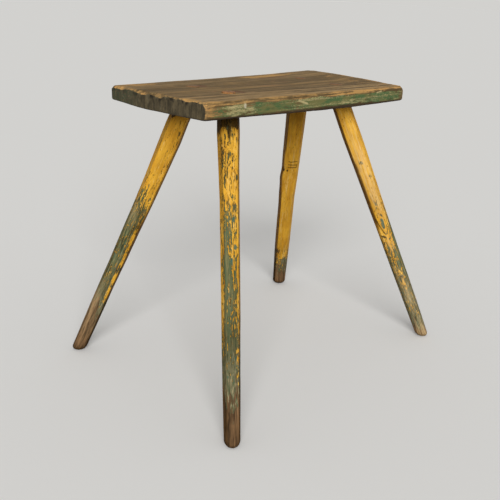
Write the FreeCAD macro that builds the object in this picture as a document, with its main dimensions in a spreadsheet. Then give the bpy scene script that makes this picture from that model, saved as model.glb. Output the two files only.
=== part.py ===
import FreeCAD, Part
import os
import Sketcher
from FreeCAD import Vector

# A staked milking stool: a plank seat on four raked, eight-sided legs. Each leg ends in a round
# tenon that passes through the plank and is held by a wedge driven into its end.
# Millimetres and degrees. +Z is up, +X runs along the seat and -Y is the front. The origin is
# on the floor, in the middle of the space that the feet take up.

doc = FreeCAD.newDocument("milking_stool")
sizes = doc.addObject("Spreadsheet::Sheet", "sizes")

SIZES = {
    # The plank
    "seat_height": 460,
    "seat_length": 449,
    "seat_width": 215,
    "seat_thickness": 24,
    "seat_corner_radius": 7,
    "seat_top_round": 5,
    "seat_bottom_round": 4,
    # Where the middle of the plank stands over the middle of the feet
    "seat_shift_x": -8.7,
    "seat_shift_y": 8.9,
    # The joint between a leg and the plank, set out on the top of the plank
    "mortise_spacing_x": 242.5,
    "mortise_spacing_y": 80,
    "tenon_diameter": 20,
    "mortise_clearance": 0.1,
    # The wedge, across the grain of the plank
    "wedge_head": 3,
    "wedge_tip": 0.8,
    "wedge_length": 18,
    # The shaft of a leg, measured across its flats
    "shoulder_width": 31,
    "foot_width": 23.4,
    "neck_length": 32,
    "neck_width": 27,
    "foot_bevel": 2.5,
    # How far each leg leans, the direction its foot leans to and the turn of its flats
    "front_left_lean": 23.61,
    "front_left_heading": 233.45,
    "front_left_turn": 35,
    "front_right_lean": 23.76,
    "front_right_heading": 317.12,
    "front_right_turn": 23,
    "back_right_lean": 21.7,
    "back_right_heading": 46.84,
    "back_right_turn": 22,
    "back_left_lean": 22.93,
    "back_left_heading": 132.54,
    "back_left_turn": 28,
}

for row, (alias, value) in enumerate(SIZES.items(), start=1):
    sizes.set(f"A{row}", alias)
    sizes.set(f"B{row}", str(value))
    sizes.setAlias(f"B{row}", alias)
doc.recompute()

# The side of the seat, along X and along Y, that each leg stands at
LEGS = {
    "front_left": (-1, -1),
    "front_right": (1, -1),
    "back_right": (1, 1),
    "back_left": (-1, 1),
}
FLATS = 8


def bind(thing, **expressions):
    """Ties properties to expressions; a double underscore in a name stands for a dot."""
    for name, expression in expressions.items():
        thing.setExpression(name.replace("__", "."), expression)


def sketch_on(body, role, name):
    """An empty sketch on one of a body's own origin planes."""
    sketch = body.newObject("Sketcher::SketchObject", name)
    plane = next(p for p in body.Origin.OriginFeatures if p.Role == role)
    sketch.AttachmentSupport = [(plane, "")]
    sketch.MapMode = "FlatFace"
    return sketch


def constrain(sketch, name, constraint, expression):
    """Adds a named dimension to a sketch and ties it to an expression."""
    index = sketch.addConstraint(constraint)
    sketch.renameConstraint(index, name)
    sketch.setExpression(f"Constraints.{name}", expression)


def closed_outline(sketch, corners):
    """Straight sides through the corners, joined end to end."""
    count = len(corners)
    for i in range(count):
        sketch.addGeometry(Part.LineSegment(corners[i], corners[(i + 1) % count]))
    for i in range(count):
        sketch.addConstraint(Sketcher.Constraint("Coincident", i, 2, (i + 1) % count, 1))


def pad_through(body, sketch, length):
    """A pad to both sides of its sketch."""
    pad = body.newObject("PartDesign::Pad", f"{body.Name}_pad")
    pad.Profile = sketch
    pad.SideType = "Symmetric"
    bind(pad, Length=length)
    return pad


def boolean(kind, name, base, tool):
    """A Part::Cut, Part::Fuse or Part::Common of two objects."""
    result = doc.addObject(f"Part::{kind}", name)
    result.Base = base
    result.Tool = tool
    result.Refine = True
    return result


# The space under the plank and the space under its top, which the legs are sawn off to

def space_below(name, height):
    box = doc.addObject("Part::Box", name)
    bind(
        box,
        Length="4 * sizes.seat_height + sizes.seat_length",
        Width="4 * sizes.seat_height + sizes.seat_width",
        Height=height,
        Placement__Base__x="-Length / 2",
        Placement__Base__y="-Width / 2",
    )
    return box


UNDERSIDE = "(sizes.seat_height - sizes.seat_thickness)"
under_seat = space_below("under_seat", UNDERSIDE)
under_top = space_below("under_top", "sizes.seat_height")


# The staked joint: everything on a leg is drawn along the leg's own axis, which leaves the top
# of the plank at the middle of the mortise and leans towards the foot

def body_on_axis(name, leg):
    side_x, side_y = LEGS[leg]
    body = doc.addObject("PartDesign::Body", name)
    bind(
        body,
        Placement__Base__x=f"sizes.seat_shift_x + {side_x} * sizes.mortise_spacing_x / 2",
        Placement__Base__y=f"sizes.seat_shift_y + {side_y} * sizes.mortise_spacing_y / 2",
        Placement__Base__z="sizes.seat_height",
        Placement__Rotation__Axis__x=f"sin(sizes.{leg}_heading * 1deg)",
        Placement__Rotation__Axis__y=f"-cos(sizes.{leg}_heading * 1deg)",
        Placement__Rotation__Axis__z="0",
        Placement__Rotation__Angle=f"sizes.{leg}_lean * 1deg",
    )
    return body


JOINT_REACH = "4 * (sizes.seat_thickness + sizes.tenon_diameter)"


def round_bar(name, leg, diameter):
    """A round bar on the leg's axis, long enough to pass through the plank."""
    body = body_on_axis(name, leg)
    sketch = sketch_on(body, "XY_Plane", f"{name}_circle")
    start = float(sizes.tenon_diameter)
    sketch.addGeometry(Part.Circle(Vector(), Vector(0, 0, 1), start / 2))
    sketch.addConstraint(Sketcher.Constraint("Coincident", 0, 3, -1, 1))
    constrain(sketch, "diameter", Sketcher.Constraint("Diameter", 0, start), diameter)
    pad_through(body, sketch, JOINT_REACH)
    return body


def wedge_bar(name, leg):
    """A tapered strip on the leg's axis, thin end down, that runs out past the tenon."""
    body = body_on_axis(name, leg)
    sketch = sketch_on(body, "XZ_Plane", f"{name}_taper")
    tip = float(sizes.wedge_tip)
    head = float(sizes.wedge_head)
    depth = float(sizes.wedge_length)
    rise = float(sizes.tenon_diameter)
    lower = [Vector(-tip / 2, -depth), Vector(tip / 2, -depth)]
    upper = [Vector(head / 2, rise), Vector(-head / 2, rise)]
    closed_outline(sketch, lower + upper)
    for side in (0, 2):
        ends = (side, 1, side, 2, -2)
        sketch.addConstraint(Sketcher.Constraint("Symmetric", *ends))
    over = "sizes.tenon_diameter / sizes.wedge_length"
    run_out = f"sizes.wedge_head + (sizes.wedge_head - sizes.wedge_tip) * {over}"
    constrain(sketch, "tip", Sketcher.Constraint("DistanceX", 0, 1, 0, 2, tip), "sizes.wedge_tip")
    constrain(sketch, "head", Sketcher.Constraint("DistanceX", 2, 2, 2, 1, head), run_out)
    constrain(sketch, "depth", Sketcher.Constraint("DistanceY", 0, 1, -1, 1, depth), "sizes.wedge_length")
    constrain(sketch, "rise", Sketcher.Constraint("DistanceY", -1, 1, 2, 1, rise), "sizes.tenon_diameter")
    pad_through(body, sketch, "2 * sizes.tenon_diameter")
    return body


def octagon(body, name, height, width, turn):
    """A regular eight-sided section across a leg's axis, measured across its flats."""
    sketch = sketch_on(body, "XY_Plane", name)
    bind(sketch, AttachmentOffset__Base__z=height, AttachmentOffset__Rotation__Angle=turn)
    radius = float(sizes.shoulder_width) / 2
    step = 360 / FLATS
    corner = FreeCAD.Rotation(Vector(0, 0, 1), step / 2).multVec(Vector(radius, 0, 0))
    turns = [FreeCAD.Rotation(Vector(0, 0, 1), i * step) for i in range(FLATS)]
    closed_outline(sketch, [t.multVec(corner) for t in turns])
    circle = sketch.addGeometry(Part.Circle(Vector(), Vector(0, 0, 1), radius), True)
    sketch.addConstraint(Sketcher.Constraint("Coincident", circle, 3, -1, 1))
    for i in range(FLATS):
        sketch.addConstraint(Sketcher.Constraint("PointOnObject", i, 1, circle))
    for i in range(1, FLATS):
        sketch.addConstraint(Sketcher.Constraint("Equal", 0, i))
    sketch.addConstraint(Sketcher.Constraint("Horizontal", 1))
    across = f"{width} / cos({step / 2} * 1deg)"
    constrain(sketch, "corners", Sketcher.Constraint("Diameter", circle, 2 * radius), across)
    return sketch


def tapered_bar(name, leg, length, taper, downwards):
    """An eight-sided bar on the leg's axis that grows slimmer, up or down, from the shoulder."""
    body = body_on_axis(name, leg)
    shoulder = f"-sizes.seat_thickness / cos(sizes.{leg}_lean * 1deg) - sizes.neck_length"
    turn = f"sizes.{leg}_turn * 1deg"
    pad = body.newObject("PartDesign::Pad", f"{name}_pad")
    pad.Profile = octagon(body, f"{name}_section", shoulder, "sizes.shoulder_width", turn)
    pad.Reversed = downwards
    bind(pad, Length=length)
    doc.recompute()
    faces = {f"Face{i}": face for i, face in enumerate(pad.Shape.Faces, start=1)}
    flats = [key for key, face in faces.items() if abs(face.normalAt(0, 0).z) < 0.5]
    ends = sorted(set(faces) - set(flats), key=lambda key: faces[key].CenterOfMass.z)
    draft = body.newObject("PartDesign::Draft", f"{name}_draft")
    draft.Base = (pad, flats)
    draft.NeutralPlane = (pad, [ends[-1] if downwards else ends[0]])
    draft.Reversed = downwards
    bind(draft, Angle=taper)
    return body


def shaft(name, leg):
    """The eight-sided leg below its tenon: tapered to the foot and drawn in under the seat."""
    lean = f"cos(sizes.{leg}_lean * 1deg)"
    stem_length = f"({UNDERSIDE} / {lean} - sizes.neck_length)"
    stem_taper = f"atan((sizes.shoulder_width - sizes.foot_width) / 2 / {stem_length})"
    neck_taper = "atan((sizes.shoulder_width - sizes.neck_width) / 2 / sizes.neck_length)"
    # Each bar runs on by a width, past the floor or into the plank, so that it can be sawn level
    stem = tapered_bar(f"{name}_stem", leg, f"{stem_length} + sizes.foot_width", stem_taper, True)
    neck = tapered_bar(f"{name}_neck", leg, "sizes.neck_length + sizes.neck_width", neck_taper, False)
    return boolean("Fuse", name, stem, neck)


def bevelled_foot(name, trimmed):
    """Takes off the edges of the flat that a leg stands on."""
    doc.recompute()
    bevel = float(sizes.foot_bevel)
    on_floor = [
        (i, bevel, bevel)
        for i, edge in enumerate(trimmed.Shape.Edges, start=1)
        if abs(edge.BoundBox.ZMax) < 0.001
    ]
    foot = doc.addObject("Part::Chamfer", name)
    foot.Base = trimmed
    foot.Edges = on_floor
    return foot


def staked_leg(leg):
    """A leg with its slotted tenon, and the wedge that fills the slot."""
    blank = boolean("Common", f"{leg}_blank", shaft(f"{leg}_shaft", leg), under_seat)
    foot = bevelled_foot(f"{leg}_foot", blank)
    bar = round_bar(f"{leg}_bar", leg, "sizes.tenon_diameter")
    tenon = boolean("Common", f"{leg}_tenon", bar, under_top)
    strip = wedge_bar(f"{leg}_strip", leg)
    whole = boolean("Fuse", f"{leg}_whole", foot, tenon)
    leg_piece = boolean("Cut", f"{leg}_slotted", whole, strip)
    leg_piece.Label = f"leg_{leg}"
    wedge_piece = boolean("Common", f"{leg}_driven", strip, tenon)
    wedge_piece.Label = f"wedge_{leg}"
    return [leg_piece, wedge_piece]


# The plank: a rectangle with worn corners and rounded arrises, bored for the four tenons

def edges_where(feature, test):
    """The names of a feature's edges whose bounding box passes a test."""
    edges = feature.Shape.Edges
    return [f"Edge{i}" for i, edge in enumerate(edges, start=1) if test(edge.BoundBox)]


def round_edges(body, name, base, test, radius):
    doc.recompute()
    fillet = body.newObject("PartDesign::Fillet", name)
    fillet.Base = (base, edges_where(base, test))
    bind(fillet, Radius=radius)
    return fillet


def plank():
    body = doc.addObject("PartDesign::Body", "plank")
    bind(
        body,
        Placement__Base__x="sizes.seat_shift_x",
        Placement__Base__y="sizes.seat_shift_y",
        Placement__Base__z=UNDERSIDE,
    )
    sketch = sketch_on(body, "XY_Plane", "plank_outline")
    length = float(sizes.seat_length)
    width = float(sizes.seat_width)
    front = [Vector(-length / 2, -width / 2), Vector(length / 2, -width / 2)]
    back = [Vector(length / 2, width / 2), Vector(-length / 2, width / 2)]
    closed_outline(sketch, front + back)
    for side in (0, 2):
        sketch.addConstraint(Sketcher.Constraint("Horizontal", side))
    for side in (1, 3):
        sketch.addConstraint(Sketcher.Constraint("Vertical", side))
    sketch.addConstraint(Sketcher.Constraint("Symmetric", 0, 1, 2, 1, -1, 1))
    constrain(sketch, "length", Sketcher.Constraint("DistanceX", 0, 1, 0, 2, length), "sizes.seat_length")
    constrain(sketch, "width", Sketcher.Constraint("DistanceY", 1, 1, 1, 2, width), "sizes.seat_width")
    pad = body.newObject("PartDesign::Pad", "plank_pad")
    pad.Profile = sketch
    bind(pad, Length="sizes.seat_thickness")

    top = float(sizes.seat_thickness)
    corners = round_edges(
        body, "plank_corners", pad, lambda box: box.ZLength > top / 2, "sizes.seat_corner_radius"
    )
    upper = round_edges(
        body, "plank_top", corners, lambda box: box.ZMin > top / 2, "sizes.seat_top_round"
    )
    return round_edges(
        body, "plank_bottom", upper, lambda box: box.ZMax < top / 4, "sizes.seat_bottom_round"
    )


def seat():
    plank()
    bore = "sizes.tenon_diameter + sizes.mortise_clearance"
    mortises = doc.addObject("Part::MultiFuse", "mortises")
    mortises.Shapes = [round_bar(f"{leg}_mortise", leg, bore) for leg in LEGS]
    board = boolean("Cut", "bored_plank", doc.plank, mortises)
    board.Label = "seat_board"
    return board


pieces = [seat()]
for leg_name in LEGS:
    pieces += staked_leg(leg_name)
doc.recompute()

for item in doc.Objects:
    if "Invalid" in item.State or "Error" in item.State:
        raise RuntimeError(f"{item.Label} failed: {item.State}")
for piece in pieces:
    if piece.Shape.isNull() or not piece.Shape.isValid():
        raise RuntimeError(f"{piece.Label} has no valid shape")
    if len(piece.Shape.Solids) != 1:
        raise RuntimeError(f"{piece.Label} has {len(piece.Shape.Solids)} solids")

os.makedirs("parts", exist_ok=True)
for piece in pieces:
    piece.Shape.exportStep(f"parts/{piece.Label}.step")
    print(f"{piece.Label}: {piece.Shape.Volume:.0f} cubic millimetres")
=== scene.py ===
import math

import bmesh
import bpy
from mathutils import Matrix, Vector, noise


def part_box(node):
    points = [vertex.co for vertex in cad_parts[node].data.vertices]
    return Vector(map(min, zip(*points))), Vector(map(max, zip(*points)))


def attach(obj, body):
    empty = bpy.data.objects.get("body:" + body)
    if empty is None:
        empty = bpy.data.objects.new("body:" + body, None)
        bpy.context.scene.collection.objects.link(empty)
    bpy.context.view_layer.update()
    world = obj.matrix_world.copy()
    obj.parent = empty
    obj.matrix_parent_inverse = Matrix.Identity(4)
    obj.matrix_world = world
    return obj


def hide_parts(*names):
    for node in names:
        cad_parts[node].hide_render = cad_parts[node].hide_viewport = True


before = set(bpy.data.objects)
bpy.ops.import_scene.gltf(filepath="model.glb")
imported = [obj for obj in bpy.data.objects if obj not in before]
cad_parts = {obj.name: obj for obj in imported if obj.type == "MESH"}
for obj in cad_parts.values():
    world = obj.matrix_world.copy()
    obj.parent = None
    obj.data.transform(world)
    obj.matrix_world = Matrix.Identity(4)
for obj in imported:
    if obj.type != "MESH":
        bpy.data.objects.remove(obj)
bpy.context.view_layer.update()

# A worn milking stool: a plank seat with green paint left on its edges, and four eight-sided legs
# in ochre paint rubbed through to an older green. Metres and degrees, apart from the tables that say
# millimetres. +X runs along the seat, -Y is its front and +Z is up. A compass direction is counted
# from +X towards +Y.

MM = 0.001
UP = Vector((0, 0, 1))
# Edges that turn by more than this many degrees stay sharp
SHARP_TURN = 50
# Points of a seam that are closer than this are one point
MERGE_REACH = 0.001 * MM

# The plank, from its CAD node
seat_low, seat_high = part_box("seat_board")
SEAT_MIDDLE = (seat_low + seat_high) / 2
SEAT_HALF = (seat_high - seat_low) / 2
# How often its block is cut along, across and through, and how far the cuts crowd to its sides
SEAT_CUTS = (219, 149, 13)
CROWDING = 1.2
# Radius of each corner of the plank in plan, by its side along X and along Y
SEAT_CORNERS = {(-1, -1): 8 * MM, (1, -1): 12 * MM, (1, 1): 14 * MM, (-1, 1): 6 * MM}
# How much more the top arris is rubbed round at the same corners
CORNER_WEAR = {(-1, -1): 0, (1, -1): 9 * MM, (1, 1): 2 * MM, (-1, 1): 0}
# How far the worn top and underside stand above their flat CAD faces at the same corners
TOP_CORNERS = {(-1, -1): 2.3 * MM, (1, -1): -2.3 * MM, (1, 1): 2.6 * MM, (-1, 1): 0}
UNDER_CORNERS = {(-1, -1): 2.3 * MM, (1, -1): -1.8 * MM, (1, 1): 2.3 * MM, (-1, 1): -1.8 * MM}
# The slow shapes that wear and drying have given it
HOLLOW = 0.8 * MM
BACK_SAG = 0.8 * MM
RIGHT_END_CROWN = 1.6 * MM
RIGHT_END_BOW = 3 * MM
RIGHT_END_SKEW = 4 * MM
FRONT_BELLY = 2.2 * MM
THIN_CORNER = 4.4 * MM
# The height of its small ridges and marks, and how far in from the sides those of the sides reach
TOP_SWELL = 0.35 * MM
GRAIN_RIDGES = 0.2 * MM
FINE_RIDGES = 0.1 * MM
UNDER_SAW_MARKS = 0.2 * MM
SIDE_WOBBLE = 0.6 * MM
SIDE_REACH = 14 * MM
LEFT_END_FLUTES = 0.5 * MM
LEFT_END_LUMPS = 0.4 * MM
RIGHT_END_FLUTES = 0.4 * MM
# Radius of the rubbed arris along the left end, the right end, the front and the back, the widest that
# it gets and how uneven it is
TOP_ARRIS = (2.6 * MM, 5 * MM, 6 * MM, 4.6 * MM)
UNDER_ARRIS = (3.6 * MM, 4 * MM, 4.6 * MM, 4 * MM)
WIDEST_ARRIS = 11 * MM
ARRIS_UNEVENNESS = 0.5
# How far along X a side faces, from 0 to 1, before it has the marks of an end
END_FACING = 0.3
# How deep splinters are lost from the top arris of the left end, by place from its front to its back,
# both in millimetres
END_SPLINTERS = (
    (-107, 1.4), (-84, 0.6), (-76, 2.4), (-66, 2), (-52, 1), (-42, 1.6), (-32, 0.5), (-22, 0.8),
    (-14, 3.8), (-6, 4.4), (14, 1.8), (21, 3.6), (34, 4.4), (48, 2.4), (62, 1), (80, 3), (107, 2.6),
)

# The joints between the legs and the plank
TENON_RADIUS = 10 * MM
TENON_ARRIS = 0.4 * MM
MORTISE_CLEARANCE = 0.05 * MM
MORTISE_SIDES = 48
# How far each tenon stands above the worn seat
TENON_PROUD = {
    "front_left": 1.7 * MM, "front_right": 0.25 * MM, "back_right": 0.25 * MM, "back_left": 0.6 * MM,
}
WEDGE_PROUD = 0.15 * MM
WEDGE_HEAD = 3 * MM
WEDGE_TIP = 0.8 * MM
WEDGE_LENGTH = 18 * MM
WEDGE_ARRIS = 0.2 * MM
# The kerf's cutter is this wide, to pass right through the tenon
KERF_REACH = 40 * MM

# The legs
FLATS = 8
# Where a ring's points stand along each flat, closer near its arrises
FLAT_STEPS = (0, 0.05, 0.13, 0.3, 0.5, 0.7, 0.87, 0.95)
# How far apart the rings of a shaft lie, the round of its foot, and the degrees from ring to ring of it
RING_STEP = 2 * MM
FOOT_ROUND = 7.5 * MM
FOOT_TURN = 15
# How unevenly the drawknife left the flats, and by how many degrees it turned them
LONG_CUTS = 0.45 * MM
SHORT_CUTS = 0.16 * MM
CUT_SKEW = 3.5
# How crisp the arrises are at the worn foot and from a height upwards
FOOT_CRISPNESS = 12
SHAFT_CRISPNESS = 60
CRISP_HEIGHT = 150 * MM
# Heights in millimetres at which the widths and the strays of the legs are given
LEVELS = (0, 80, 120, 170, 220, 270, 320, 370, 405, 436)
# Each leg: the turn of its flats, its widths across them, how far its middle strays from its CAD axis
# towards SIDEWAYS, and its lumps and nicks: height, compass direction, rise and half length, in
# millimetres
SIDEWAYS = Vector((1, -1, 0)).normalized()
LEGS = {
    "front_left": {
        "turn": 35,
        "widths": (23, 24.5, 25.2, 26.2, 26.6, 26.9, 27.2, 29.3, 31.5, 30.4),
        "strays": (-0.9, -0.9, -0.8, -0.4, -0.3, -0.4, -0.5, -0.9, -0.9, -0.9),
        "lumps": [],
    },
    "front_right": {
        "turn": 23,
        "widths": (20.4, 22.7, 23.4, 23.7, 24.9, 26.3, 27.8, 29.5, 28.7, 28),
        "strays": (0.8, 0, -0.6, -1.5, -1.8, -2.1, -2.3, -2.8, -2.9, -2.8),
        "lumps": [],
    },
    "back_right": {
        "turn": 22,
        "widths": (25.2, 27, 28, 28.5, 28.4, 30, 32, 33.1, 33.8, 33.4),
        "strays": (-1.6, -2.3, -2.4, -2.6, -2.6, -1.4, -1.2, -0.7, -0.4, -0.2),
        "lumps": [(264, 152, 2.2, 13), (236, 152, 1.4, 26), (283, 166, -1.8, 5)],
    },
    "back_left": {
        "turn": 28,
        "widths": (22, 23.2, 23.5, 24.6, 25.7, 27.1, 28.8, 30.9, 30.4, 29.2),
        "strays": (0.4, 0.6, 0.7, 1.6, 1.7, 2.5, 2.2, 1.7, 0.3, 0.2),
        "lumps": [],
    },
}


def smooth(low, high, value):
    """Goes smoothly from 0 to 1 while a value goes from low to high."""
    share = min(1, max(0, (value - low) / (high - low)))
    return share * share * (3 - 2 * share)


def between_marks(marks, place):
    """The value at a place, from a list of rising places and their values."""
    for (first, start), (last, end) in zip(marks, marks[1:]):
        if place <= last:
            return start + (end - start) * (place - first) / (last - first)
    return marks[-1][1]


def wander(seed, *place):
    """Slow seeded noise between about -1 and 1, with a place counted in its waves."""
    spot = Vector((*place, 0, 0)[:3])
    return noise.noise(spot + Vector((seed * 17.3, seed * 5.1, seed * 9.7)))


def as_piece(bm, name):
    """Turns a bmesh into an object at the origin."""
    mesh = bpy.data.meshes.new(name)
    bm.to_mesh(mesh)
    bm.free()
    piece = bpy.data.objects.new(name, mesh)
    bpy.context.scene.collection.objects.link(piece)
    return piece


def carve(piece, cutter):
    """Takes one closed piece out of another and removes the cutter."""
    cut = piece.modifiers.new("cut", "BOOLEAN")
    cut.object = cutter
    cut.solver = "EXACT"
    evaluated = piece.evaluated_get(bpy.context.evaluated_depsgraph_get())
    carved = bpy.data.meshes.new_from_object(evaluated)
    piece.modifiers.clear()
    piece.data = carved
    bpy.data.objects.remove(cutter)


def shade(piece):
    """Smooth shading between the sharp edges."""
    piece.data.shade_smooth()
    piece.data.set_sharp_from_angle(angle=math.radians(SHARP_TURN))


def store(piece, name, values, kind="FLOAT"):
    """Keeps one value or vector for each point of a mesh, for its material to read."""
    layer = piece.data.attributes.new(name, kind, "POINT")
    if kind == "FLOAT":
        layer.data.foreach_set("value", values)
    else:
        layer.data.foreach_set("vector", [c for value in values for c in value])


# Where a leg's axis runs, read from its CAD node

class Axis:
    LEVEL_SLACK = 0.01 * MM

    def __init__(self, leg):
        node = f"leg_{leg}"
        low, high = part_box(node)
        self.foot = self.level_middle(node, low.z)
        self.head = self.level_middle(node, high.z)
        self.along = (self.head - self.foot).normalized()
        tilt = UP.rotation_difference(self.along)
        self.side = tilt @ Vector((1, 0, 0))
        self.front = tilt @ Vector((0, 1, 0))

    def level_middle(self, node, height):
        """The middle of the points of a CAD node that lie at a height."""
        points = [v.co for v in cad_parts[node].data.vertices]
        level = [co for co in points if abs(co.z - height) < self.LEVEL_SLACK]
        xs = [co.x for co in level]
        ys = [co.y for co in level]
        return Vector(((min(xs) + max(xs)) / 2, (min(ys) + max(ys)) / 2, height))

    def at(self, height):
        """The point of the axis at a height above the floor."""
        return self.foot + self.along * ((height - self.foot.z) / self.along.z)

    def spoke(self, angle):
        """A unit vector square to the axis."""
        return self.side * math.cos(angle) + self.front * math.sin(angle)

    def levelled(self, spoke):
        """A spoke slid along the axis until it lies level."""
        return spoke - self.along * (spoke.z / self.along.z)


AXES = {leg: Axis(leg) for leg in LEGS}


# The plank

def between_corners(corners, across, deep):
    """A value given at the plank's corners, at shares from -1 to 1 along and across it."""
    return sum(
        value * (1 + side_x * across) * (1 + side_y * deep) / 4
        for (side_x, side_y), value in corners.items()
    )


def seat_relief(x, y):
    """How far the top of the worn plank stands above its flat CAD face, x and y from its middle."""
    across = x / SEAT_HALF.x
    deep = y / SEAT_HALF.y
    twist = between_corners(TOP_CORNERS, across, deep)
    dished = -(1 - across ** 2) * (HOLLOW * (1 - deep ** 2) + BACK_SAG * smooth(0.2, 1, deep))
    crown = RIGHT_END_CROWN * smooth(0.65, 1, across) * max(0, 1 - ((deep - 0.3) / 0.9) ** 2)
    swell = TOP_SWELL * wander(1, x * 9, y * 22)
    ridges = GRAIN_RIDGES * wander(2, x * 6, y * 190) + FINE_RIDGES * wander(7, x * 14, y * 420)
    return twist + dished + crown + swell + ridges


def relief_at(point):
    """The same at a point of the scene."""
    return seat_relief(point.x - SEAT_MIDDLE.x, point.y - SEAT_MIDDLE.y)


def under_relief(x, y):
    """How far the underside of the worn plank stands above its flat CAD face."""
    across = x / SEAT_HALF.x
    deep = y / SEAT_HALF.y
    twist = between_corners(UNDER_CORNERS, across, deep)
    belly = -FRONT_BELLY * max(0, 1 - ((across - 0.2) / 0.8) ** 2) * smooth(0.3, -1, deep)
    thinned = THIN_CORNER * smooth(-0.62, -1, across) * smooth(0.1, 1, deep)
    return twist + belly + thinned + UNDER_SAW_MARKS * wander(8, x * 160, y * 9)


def broken_end(y):
    """Depth of the splinters lost from the top arris at the left end."""
    depth = between_marks(END_SPLINTERS, y / MM)
    return MM * (depth + max(-0.4, 1.3 * wander(4, y * 150) + 0.7 * wander(9, y * 420)))


def rounded_plan(x, y, radius):
    """Takes a place of the square block to the plank with round corners.

    Gives the place, the way that its nearest side faces and how far inside that side it lies.
    """
    core = Vector((math.copysign(SEAT_HALF.x - radius, x), math.copysign(SEAT_HALF.y - radius, y)))
    beyond = Vector((abs(x) - abs(core.x), abs(y) - abs(core.y)))
    plan = Vector((x, y))
    if beyond.x > 0 and beyond.y > 0:
        outward = (plan - core).normalized()
        return core + outward * max(beyond), outward, radius - max(beyond)
    if beyond.x > beyond.y:
        return plan, Vector((math.copysign(1, x), 0)), radius - beyond.x
    return plan, Vector((0, math.copysign(1, y))), radius - beyond.y


def side_radius(radii, outward):
    """The radius of the arris that faces one way, between those of the sides it lies between."""
    left, right, front, back = radii
    along = left if outward.x < 0 else right
    across = front if outward.y < 0 else back
    return along * outward.x ** 2 + across * outward.y ** 2


def rubbed_arris(plan, outward, corner, upper):
    """The radius of the arris nearest to a place of the plank."""
    arris = side_radius(TOP_ARRIS if upper else UNDER_ARRIS, outward)
    if upper:
        arris += CORNER_WEAR[corner] * 4 * outward.x ** 2 * outward.y ** 2
    uneven = 1 + ARRIS_UNEVENNESS * wander(5, plan.x * 22, plan.y * 22)
    return min(SEAT_CORNERS[corner], WIDEST_ARRIS, arris * uneven)


def worn_plank_point(u, v, w):
    """Takes a point of a block, with sides at -1 and 1, to the surface of the worn plank."""
    x, y, z = (
        math.sin(CROWDING * share) / math.sin(CROWDING) * half
        for share, half in zip((u, v, w), SEAT_HALF)
    )
    corner = (1 if x > 0 else -1, 1 if y > 0 else -1)
    upper = z > 0
    plan, outward, inset = rounded_plan(x, y, SEAT_CORNERS[corner])
    arris = rubbed_arris(plan, outward, corner, upper)
    past_side = arris - inset
    past_face = abs(z) - (SEAT_HALF.z - arris)
    if past_side > 0 and past_face > 0:
        turn = Vector((past_side, past_face)).normalized() * arris
        plan += outward * (turn.x - past_side)
        z = math.copysign(SEAT_HALF.z - arris + turn.y, z)

    near_side = 1 - smooth(0, SIDE_REACH, inset)
    plan += outward * near_side * SIDE_WOBBLE * wander(6, plan.x * 16, plan.y * 16)
    high = smooth(0, SEAT_HALF.z, z)
    if outward.x < -END_FACING:
        bite = broken_end(plan.y)
        z -= bite * high * (1 - smooth(0, 2 * bite + 0.5 * MM, inset))
        flutes = LEFT_END_FLUTES * wander(11, plan.y * 300, z * 25)
        plan.x += near_side * (flutes + LEFT_END_LUMPS * wander(12, plan.y * 90, z * 60))
    if outward.x > END_FACING:
        plan.x += near_side * RIGHT_END_FLUTES * wander(13, plan.y * 260, z * 25)
    deep = y / SEAT_HALF.y
    bow = RIGHT_END_BOW * (1 - deep ** 2) + RIGHT_END_SKEW * smooth(0.2, -1, deep)
    plan.x += bow * smooth(0.6, 1, x / SEAT_HALF.x)
    if upper:
        z += seat_relief(plan.x, plan.y) * high
    else:
        z += under_relief(plan.x, plan.y) * smooth(0, SEAT_HALF.z, -z)
    return SEAT_MIDDLE + Vector((plan.x, plan.y, z))


def mortise_cutter():
    """Four round bars along the legs' axes, three times as long as the plank is thick."""
    bm = bmesh.new()
    radius = TENON_RADIUS + MORTISE_CLEARANCE
    for axis in AXES.values():
        turned = axis.along.to_track_quat("Z", "Y").to_matrix().to_4x4()
        turned.translation = axis.at(SEAT_MIDDLE.z)
        bmesh.ops.create_cone(
            bm, cap_ends=True, segments=MORTISE_SIDES, radius1=radius, radius2=radius,
            depth=6 * SEAT_HALF.z, matrix=turned,
        )
    return as_piece(bm, "mortise_cutter")


def make_seat():
    bm = bmesh.new()
    bmesh.ops.create_cube(bm, size=2)
    for axis, cuts in enumerate(SEAT_CUTS):
        along = [e for e in bm.edges if abs(e.verts[0].co[axis] - e.verts[1].co[axis]) > 1]
        bmesh.ops.subdivide_edges(bm, edges=along, cuts=cuts, use_grid_fill=True)
    for vert in bm.verts:
        vert.co = worn_plank_point(*vert.co)
    seat = as_piece(bm, "plank_seat")
    carve(seat, mortise_cutter())
    shade(seat)
    return seat


# A leg

def leg_heights():
    """The heights of a leg's rings, each with the part of the leg that it lies on."""
    underside = seat_low.z
    heights = [FOOT_ROUND * (1 - math.cos(math.radians(a))) for a in range(0, 90, FOOT_TURN)]
    count = round((underside - FOOT_ROUND) / RING_STEP)
    heights += [FOOT_ROUND + (underside - FOOT_ROUND) * i / count for i in range(count + 1)]
    shaft = [(height, "shaft") for height in heights]
    tenon = [(height, "tenon") for height in (underside, SEAT_MIDDLE.z, seat_high.z)]
    return shaft + tenon + [(seat_high.z, "end")]


def at_level(leg, what, height):
    """A leg's width or stray at a height."""
    return MM * between_marks(list(zip(LEVELS, LEGS[leg][what])), height / MM)


def leg_middle(leg, height):
    """The middle of a leg's worn shaft at a height."""
    return AXES[leg].at(height) + SIDEWAYS * at_level(leg, "strays", height)


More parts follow.
